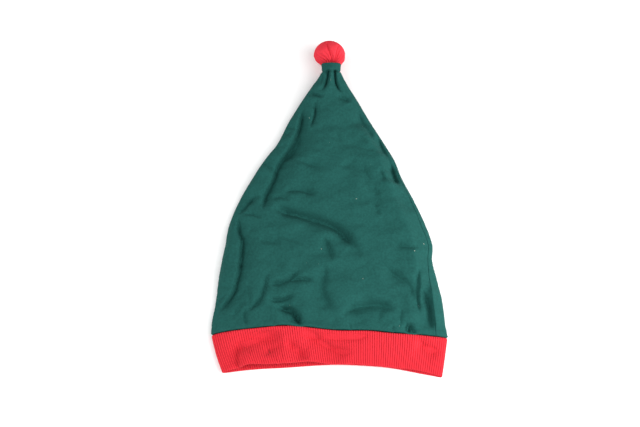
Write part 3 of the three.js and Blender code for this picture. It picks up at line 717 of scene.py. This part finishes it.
# Soft dents in the upper side of the cuff, in the same columns as the creases.
cuff_dents = [
    ("left tuck", 6.0, 2.0, 6.0, 0.7,
     [(-64.1, -107.7), (-65.3, -113.8), (-65.9, -119.8), (-65.9, -125.9), (-66.5, -131.2),
      (-66.8, -135.4)]),
    ("left slant", 6.0, 7.0, 4.0, 1.4,
     [(-66.8, -121.6), (-64.9, -116.4), (-60.2, -111.6), (-51.8, -108.6), (-42.8, -107.7),
      (-33.1, -107.4)]),
    ("middle arch", 4.4, 6.0, 4.0, 1.4,
     [(-47.9, -122.8), (-45.0, -117.4), (-37.8, -113.8), (-29.4, -112.3)]),
    ("arch end", 5.6, 3.2, 6.0, 1.1,
     [(-33.1, -107.7), (-28.8, -111.6), (-24.6, -115.0), (-18.5, -120.1), (-13.7, -124.1)]),
    ("middle slant", 7.0, 2.4, 7.0, 0.9,
     [(-22.3, -98.4), (-17.4, -102.5), (-11.9, -105.9), (-5.3, -110.3), (1.9, -114.7),
      (12.1, -117.6), (18.7, -118.9)]),
    ("seam streak", 4.0, 3.0, 1.6, 0.8,
     [(-10.1, -105.9), (-2.9, -107.2), (6.8, -108.0), (17.7, -107.7), (31.0, -105.7)]),
    ("right end", 4.6, 2.0, 6.0, 0.9,
     [(61.8, -107.9), (67.1, -111.8), (72.4, -115.0), (82.5, -118.6)]),
]


def cuff_points(along, turn, dented=True):
    """The outer face of the cuff before its ribs, with or without the dents."""
    section = smooth_rows(cuff_columns, cuff_rows, along)
    x, z, across, upper = ring_point(section, turn)
    rim, seam = cuff_rows[0][0], cuff_rows[-1][0]
    near_seam = fade(along, rim, seam)
    upper_waves = wave(rim_waves, across) * (1 - near_seam) + wave(seam_waves, across) * near_seam
    waves = np.where(upper, upper_waves, wave(back_rim_waves, across) * (1 - near_seam))
    y = along + bow(section, across, upper) + waves
    z = z + np.where(upper, wave(rim_lifts, across) * (1 - near_seam) ** 2, 0)
    if dented:
        dip = crease_dip(cuff_dents, x, y) * (1 - across**FLAT_ENDS) * fade(seam - along, 0, DENT_FADE)
        z = np.where(upper, z + settle(z - dip) - settle(z), z)
    return np.stack([x, y, z], -1)


def even_turns(along, count):
    """Turns that divide the ring into equal lengths of cloth, so that the ribs keep their pitch."""
    turn = np.linspace(0, 2, RING_SAMPLES)
    length = lengths_from_start(cuff_points(np.full_like(turn, along), turn, dented=False), 0)
    return np.interp(np.arange(count) / count * length[-1], length, turn)


def make_cuff():
    """The band as rings of points: down the outside, round the rim, up the inside and back between."""
    columns = RIBS * COLUMNS_PER_RIB
    seam, rim = cuff_rows[-1][0], cuff_rows[0][0]
    phase = np.arange(columns) / COLUMNS_PER_RIB
    groove = RIB_DEPTH * (1 - np.abs(np.cos(math.pi * phase)) ** RIB_ROUNDNESS)
    rings = []

    def ring(along, depth, past, relief):
        """A ring sunk to a depth and drawn past the rim, with a share of the ribs' relief."""
        points = cuff_points(np.full(columns, along), even_turns(along, columns))
        around = np.roll(points, -1, axis=0) - np.roll(points, 1, axis=0)
        outward = np.stack([-around[:, 2], np.zeros(columns), around[:, 0]], -1)
        outward /= np.linalg.norm(outward, axis=-1, keepdims=True)
        points = points - outward * (depth + relief * groove)[:, None]
        points[:, 1] -= past
        rings.append(points)

    def fold(first_depth, last_depth, count, relief):
        """Rings round the fold at the rim."""
        middle, radius = (first_depth + last_depth) / 2, abs(last_depth - first_depth) / 2
        for share in np.linspace(0, 1, count + 2)[1:-1]:
            depth = middle + (first_depth - middle) * math.cos(math.pi * share)
            ring(rim, depth, radius * math.sin(math.pi * share), relief * math.cos(math.pi * share))

    # The outside with its ribs, the fold at the rim and the inside with its ribs.
    for along in stops(*edge_spans(seam, -1), rim, 17):
        ring(along, roll_in(seam - along, CUFF_ROLL), 0, 1)
    fold(0, CUFF_THICKNESS, 7, 1)
    for along in stops(rim, seam, 8):
        ring(along, CUFF_THICKNESS, 0, -1)
    # The plain faces between the two thicknesses of the knit.
    for along in stops(seam, rim, 4):
        ring(along, CUFF_THICKNESS - RIB_KNIT, 0, 0)
    fold(CUFF_THICKNESS - RIB_KNIT, RIB_KNIT, 1, 0)
    for along in stops(rim, seam - CUFF_ROLL, 4):
        ring(along, RIB_KNIT, 0, 0)

    points = np.stack(rings)
    index = np.arange(points[..., 0].size).reshape(points.shape[:2])
    index = np.concatenate([index, index[:1]], axis=0)
    index = np.concatenate([index, index[:, :1]], axis=1)
    a, b, c, d = index[:-1, :-1], index[1:, :-1], index[1:, 1:], index[:-1, 1:]
    faces = np.stack([a, b, c, d], -1).reshape(-1, 4)
    mesh = bpy.data.meshes.new("cuff_rib")
    mesh.from_pydata((points.reshape(-1, 3) * MM).tolist(), [], faces.tolist())
    length = lengths_from_start(points, 0)
    length = np.concatenate([length, length[-1:] + CUFF_ROLL], axis=0)
    length = np.concatenate([length, length[:, :1]], axis=1)
    across = np.broadcast_to(np.arange(columns + 1) / COLUMNS_PER_RIB * RIB_PITCH, length.shape)
    cut = np.stack([across, length], -1) * MM
    corners = np.stack([cut[:-1, :-1], cut[1:, :-1], cut[1:, 1:], cut[:-1, 1:]], -2)
    mesh.uv_layers.new(name="cut").data.foreach_set("uv", corners.reshape(-1))
    mesh.polygons.foreach_set("use_smooth", np.ones(len(faces), bool))
    mesh.update()
    return mesh


def rib_finish():
    """Matt cotton rib: painted shade in the grooves, a fine mottle in the dye and a knitted relief."""
    finish, tree, shader = new_material("red_rib")
    groove, stitch = knit_height(tree, RIB_PITCH, RIB_COURSE)
    crest = math_node(tree, "MULTIPLY_ADD", mottle(tree, RIB_MOTTLE), MOTTLE_SHARE, CREST_SHADE)
    # Painted shade: the colour darkens towards RIB_DARK in each rib groove, on top of a random mottle of
    # the dye.
    groove_shade_and_mottle = math_node(tree, "MULTIPLY_ADD", groove, GROOVE_SHADE, crest)
    base_colour = add_node(tree, "ShaderNodeMix", {"Factor": groove_shade_and_mottle, "A": RIB_DARK, "B": RIB_LIGHT},
                   data_type="RGBA")
    bump = add_node(tree, "ShaderNodeBump", {"Height": stitch, "Strength": 0.3, "Distance": 0.0003})
    fill_inputs(tree, shader, {"Base Color": base_colour.outputs["Result"], "Normal": bump.outputs["Normal"],
                               "Roughness": 0.9, "Specular IOR Level": 0.1,
                               "Sheen Weight": 0.05, "Sheen Roughness": 0.5})
    return finish


cuff = new_piece("cuff_rib", make_cuff(), rib_finish(), "cuff")

# The ball.
# It is a round of red jersey filled with soft stuffing, drawn together in pleats that go down into
# the hem at the tip. The stuffing swells the cover between the pleats.
BALL_RADIUS = 12.8
BALL_FLATNESS = 0.97
BALL_COLUMNS = 240
BALL_RINGS = 60
BALL_DARK = (0.555, 0.0248, 0.0393, 1)
BALL_LIGHT = (0.69, 0.039, 0.058, 1)
BALL_LINT = 0.0
BALL_PLACE = 123.35
BALL_MIDDLE = 1.2
BALL_LENGTH_UP = 11.9
BALL_LENGTH_DOWN = 9.0
NECK_MIDDLE = 2.55
STEM_RADIUS = 5.6
STEM_LENGTH = 5.0
STEM_RINGS = (0.2, 0.6, 1)
STEM_PLEATING = 0.3
PLEAT_TAPER = 0.6
PLEAT_SHARPNESS = 1.4

# The simulated stuffing: the cover is enlarged for it, and no point moves further than MOST_SWELL.
COVER_SCALE = 20
STUFFING_PRESS = 4
SWELL_STEPS = 20
PLEAT_HOLD = 1.2
MOST_SWELL = 0.7

# Pleats of the cover: the angle at the stem and at the far end, how far up the ball it runs, its
# depth at the stem and its width in degrees. Angles are measured from the top, to the right.
pleat_columns = ("stem_angle", "far_angle", "far_along", "depth", "width")
pleats = [
    (3, -13, 6.5, 3.6, 4.6),
    (12, 4, -2.0, 2.8, 4.0),
    (-8, -26, -2.0, 2.6, 4.4),
    (-22, -52, -1.5, 3.6, 5.4),
    (22, 34, 4.0, 3.0, 4.4),
    (33, 41, 1.5, 3.8, 4.6),
    (43, 54, 0.0, 3.2, 4.8),
    (-42, -70, -1.0, 3.2, 5.4),
    (58, 72, 1.0, 2.8, 5.4),
    (-64, -86, 0.0, 2.0, 4.5),
    (80, 92, 1.0, 2.0, 4.5),
    (-90, -104, 0.0, 2.0, 4.5),
    (106, 114, 0.0, 2.0, 4.5),
    (-118, -126, 1.0, 2.0, 4.5),
    (134, 140, 0.0, 2.0, 4.5),
    (-146, -152, 0.0, 2.0, 4.5),
    (164, 168, 1.0, 2.0, 4.5),
]


def swell(piece, held):
    """Lets the stuffing press the cover out between the pleats that hold it, as simulated cloth."""
    mesh = piece.data
    before = np.zeros(len(mesh.vertices) * 3)
    mesh.vertices.foreach_get("co", before)
    before = before.reshape(-1, 3)
    mesh.vertices.foreach_set("co", (before * COVER_SCALE).reshape(-1))
    group = piece.vertex_groups.new(name="held")
    for index, weight in enumerate(held.tolist()):
        group.add([index], weight, "REPLACE")
    cover = piece.modifiers.new("stuffing", "CLOTH")
    cover.settings.vertex_group_mass = "held"
    cover.settings.use_pressure = True
    cover.settings.uniform_pressure_force = STUFFING_PRESS
    cover.settings.effector_weights.gravity = 0
    for step in range(1, SWELL_STEPS + 1):
        bpy.context.scene.frame_set(step)
    swollen = piece.evaluated_get(bpy.context.evaluated_depsgraph_get()).data
    after = np.zeros(len(swollen.vertices) * 3)
    swollen.vertices.foreach_get("co", after)
    piece.modifiers.remove(cover)
    piece.vertex_groups.remove(group)
    bpy.context.scene.frame_set(1)
    move = after.reshape(-1, 3) / COVER_SCALE - before
    length = np.linalg.norm(move, axis=1, keepdims=True)
    move *= np.minimum(1, MOST_SWELL * MM / np.maximum(length, TINY))
    mesh.vertices.foreach_set("co", (before + move).reshape(-1))
    mesh.update()


def make_ball():
    """The pleated cover with its stem, and how firmly the pleats hold each point of it."""
    columns = BALL_COLUMNS
    stem_start = BALL_PLACE - CROWN_END - HEM_REACH - SIDE_GAP
    lowest = math.pi - math.acos(stem_start / BALL_LENGTH_DOWN)
    rings = []
    for angle in np.linspace(0, lowest, BALL_RINGS)[1:]:
        length = BALL_LENGTH_UP if angle < math.pi / 2 else BALL_LENGTH_DOWN
        rings.append((math.cos(angle) * length, BALL_RADIUS * math.sin(angle), 1))
    for share in STEM_RINGS:
        rings.append((-stem_start - share * STEM_LENGTH, STEM_RADIUS, STEM_PLEATING))
    turn = np.arange(columns) / columns * 360 - 180
    layers = []
    held = []
    for along, radius, pleating in rings:
        dip = np.zeros(columns)
        for row in pleats:
            pleat = dict(zip(pleat_columns, row))
            share = np.clip((along + stem_start) / (pleat["far_along"] + stem_start), 0, 1)
            angle = pleat["stem_angle"] + (pleat["far_angle"] - pleat["stem_angle"]) * share
            apart = np.abs((turn - angle + 180) % 360 - 180)
            shape = np.exp(-((apart / pleat["width"]) ** PLEAT_SHARPNESS))
            dip += pleat["depth"] * (1 - share) ** PLEAT_TAPER * shape * pleating
        middle = NECK_MIDDLE + (BALL_MIDDLE - NECK_MIDDLE) * fade(along, -stem_start, 0)
        size = radius - dip
        x = middle + size * np.sin(np.radians(turn))
        z = NECK_HEIGHT + size * BALL_FLATNESS * np.cos(np.radians(turn))
        layers.append(np.stack([x, np.full(columns, BALL_PLACE + along), z], -1))
        held.append(np.clip(dip * PLEAT_HOLD, 0, 1) if pleating == 1 else np.ones(columns))
    top = np.array([[BALL_MIDDLE, BALL_PLACE + BALL_LENGTH_UP, NECK_HEIGHT]])
    bottom = np.array([[NECK_MIDDLE, BALL_PLACE - stem_start - STEM_LENGTH, NECK_HEIGHT]])
    points = np.concatenate([*layers, top, bottom]) * MM
    held = np.concatenate([*held, [0, 1]])
    rows = len(rings)
    faces = []
    for i in range(columns):
        j = (i + 1) % columns
        for first in range(0, (rows - 1) * columns, columns):
            faces.append((first + i, first + columns + i, first + columns + j, first + j))
        faces.append((rows * columns, i, j))
        faces.append((rows * columns + 1, (rows - 1) * columns + j, (rows - 1) * columns + i))
    mesh = bpy.data.meshes.new("ball_cover")
    mesh.from_pydata(points.tolist(), [], faces)
    corners = np.zeros(len(mesh.loops), int)
    mesh.loops.foreach_get("vertex_index", corners)
    place = points[corners]
    round_angle = np.arctan2(place[:, 0] - BALL_MIDDLE * MM, place[:, 2] - NECK_HEIGHT * MM)
    cut = np.stack([round_angle * BALL_RADIUS * MM, place[:, 1]], -1)
    mesh.uv_layers.new(name="cut").data.foreach_set("uv", cut.reshape(-1))
    mesh.polygons.foreach_set("use_smooth", np.ones(len(mesh.polygons), bool))
    mesh.update()
    return mesh, held


red_jersey = jersey_finish("red_jersey", BALL_DARK, BALL_LIGHT, BALL_LINT)
ball_mesh, held = make_ball()
ball = new_piece("ball_cover", ball_mesh, red_jersey, "ball")
swell(ball, held)
